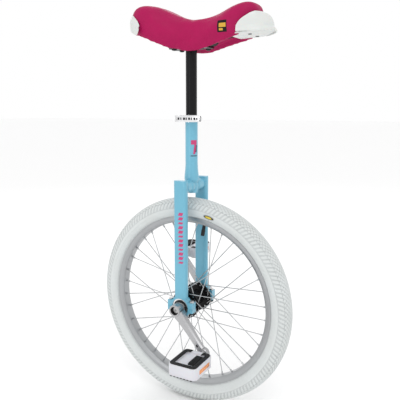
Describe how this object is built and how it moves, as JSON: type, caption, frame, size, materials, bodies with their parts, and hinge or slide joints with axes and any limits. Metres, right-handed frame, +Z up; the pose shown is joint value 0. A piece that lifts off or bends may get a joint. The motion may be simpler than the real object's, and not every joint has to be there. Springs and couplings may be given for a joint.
{
  "type": "unicycle",
  "caption": "Unicycle with a white-tyred spoked wheel, square-crown fork, cotterless cranks, platform pedals and a long padded saddle on a quick-release seat post.",
  "frame": {"origin": "on the ground, straight below the middle of the axle", "axes": "+X forward (towards the saddle's handle bumper), +Y along the axle to the rider's left, +Z up"},
  "size_m": [0.5058, 0.372, 0.9379],
  "materials": {
    "frame_paint": "gloss light blue paint",
    "plated_steel": "bright zinc plate",
    "bearing_steel": "polished bearing steel",
    "bearing_cage_steel": "pressed steel",
    "seal_rubber": "black moulded rubber",
    "clamp_alloy": "polished aluminium",
    "skewer_steel": "zinc plated",
    "cam_washer_plastic": "dark brown nylon",
    "post_paint": "gloss black",
    "plug_plastic": "black",
    "base_plastic": "black moulded",
    "seat_foam": "moulded soft foam",
    "seat_skin": "smooth magenta synthetic leather",
    "bumper_plastic": "white moulded",
    "tyre_rubber": "near-white rubber",
    "tube_rubber": "black butyl",
    "tape_rubber": "black tape",
    "rim_alloy": "satin grey anodised",
    "spoke_steel": "zinc plated",
    "hub_paint": "gloss black",
    "axle_steel": "turned steel",
    "crank_alloy": "satin silver",
    "valve_black": "black",
    "pedal_plastic": "white moulded",
    "grip_rubber": "black textured",
    "reflector_amber": "amber prismatic"
  },
  "bodies": {
    "frame": {"seat_tube": "frame_paint", "crown_tubes": "frame_paint", "right_fork_leg": "frame_paint", "left_fork_leg": "frame_paint", "leg_top_plates": "frame_paint", "right_bearing_holder": "frame_paint", "left_bearing_holder": "frame_paint", "right_bearing_cap": "frame_paint", "left_bearing_cap": "frame_paint", "bearing_cap_bolts": "plated_steel", "bearing_cap_nuts": "plated_steel", "bearing_outer_rings": "bearing_steel", "bearing_seals": "seal_rubber", "seat_collar": "clamp_alloy", "quick_release_skewer": "skewer_steel", "quick_release_washer": "cam_washer_plastic"},
    "quick_release_lever": {"quick_release_lever": "clamp_alloy"},
    "quick_release_nut": {"quick_release_nut": "clamp_alloy"},
    "right_bearing_cage": {"right_bearing_cage": "bearing_cage_steel", "right_bearing_balls": "bearing_steel"},
    "left_bearing_cage": {"left_bearing_cage": "bearing_cage_steel", "left_bearing_balls": "bearing_steel"},
    "seat_post_end_plug": {"seat_post_end_plug": "plug_plastic"},
    "seat": {"seat_post": "post_paint", "seat_post_plate": "plated_steel", "saddle_studs": "plated_steel", "saddle_stud_nuts": "plated_steel", "saddle_base": "base_plastic", "saddle_foam": "seat_foam", "saddle_cover": "seat_skin", "front_bumper": "bumper_plastic", "rear_bumper": "bumper_plastic", "bumper_screws": "plated_steel"},
    "wheel": {"tyre": "tyre_rubber", "inner_tube": "tube_rubber", "rim_tape": "tape_rubber", "rim": "rim_alloy", "right_spokes": "spoke_steel", "left_spokes": "spoke_steel", "spoke_nipples": "spoke_steel", "hub_shell": "hub_paint", "axle": "axle_steel", "axle_spacers": "axle_steel", "bearing_inner_rings": "bearing_steel", "right_crank": "crank_alloy", "left_crank": "crank_alloy", "crank_bolts": "plated_steel", "right_pedal_axle": "axle_steel", "left_pedal_axle": "axle_steel", "valve_stem": "valve_black", "valve_cap": "valve_black"},
    "right_pedal": {"right_pedal_body": "pedal_plastic", "right_pedal_grips": "grip_rubber", "right_pedal_reflectors": "reflector_amber", "right_pedal_end_cap": "pedal_plastic"},
    "left_pedal": {"left_pedal_body": "pedal_plastic", "left_pedal_grips": "grip_rubber", "left_pedal_reflectors": "reflector_amber", "left_pedal_end_cap": "pedal_plastic"}
  },
  "joints": [
    {"name": "wheel_spin", "type": "hinge", "parent": "frame", "child": "wheel", "pos_m": [0, 0, 0.253], "axis": [0, 1, 0], "continuous": true},
    {"name": "right_pedal_spin", "type": "hinge", "parent": "wheel", "child": "right_pedal", "pos_m": [0.07702, -0.146, 0.16895], "axis": [0, 1, 0], "continuous": true},
    {"name": "left_pedal_spin", "type": "hinge", "parent": "wheel", "child": "left_pedal", "pos_m": [-0.07702, 0.146, 0.33705], "axis": [0, 1, 0], "continuous": true},
    {"name": "right_cage_spin", "type": "hinge", "parent": "frame", "child": "right_bearing_cage", "pos_m": [0, -0.05, 0.253], "axis": [0, 1, 0], "continuous": true},
    {"name": "left_cage_spin", "type": "hinge", "parent": "frame", "child": "left_bearing_cage", "pos_m": [0, 0.05, 0.253], "axis": [0, 1, 0], "continuous": true},
    {"name": "seat_height", "type": "slide", "parent": "frame", "child": "seat_post_end_plug", "axis": [0, 0, 1], "range_m": [-0.02, 0.083]},
    {"name": "seat_turn", "type": "hinge", "parent": "seat_post_end_plug", "child": "seat", "pos_m": [0, 0, 0.7], "axis": [0, 0, 1], "range_deg": [-180, 180]},
    {"name": "lever_swing", "type": "hinge", "parent": "frame", "child": "quick_release_lever", "pos_m": [-0.028, -0.0175, 0.6884], "axis": [0, 0, -1], "range_deg": [0, 140]},
    {"name": "nut_turn", "type": "hinge", "parent": "frame", "child": "quick_release_nut", "pos_m": [-0.028, 0.0155, 0.6884], "axis": [0, 1, 0], "continuous": true}
  ],
  "couplings": [
    {"joint": "right_cage_spin", "follows": "wheel_spin", "ratio": 0.3976},
    {"joint": "left_cage_spin", "follows": "wheel_spin", "ratio": 0.3976}
  ]
}
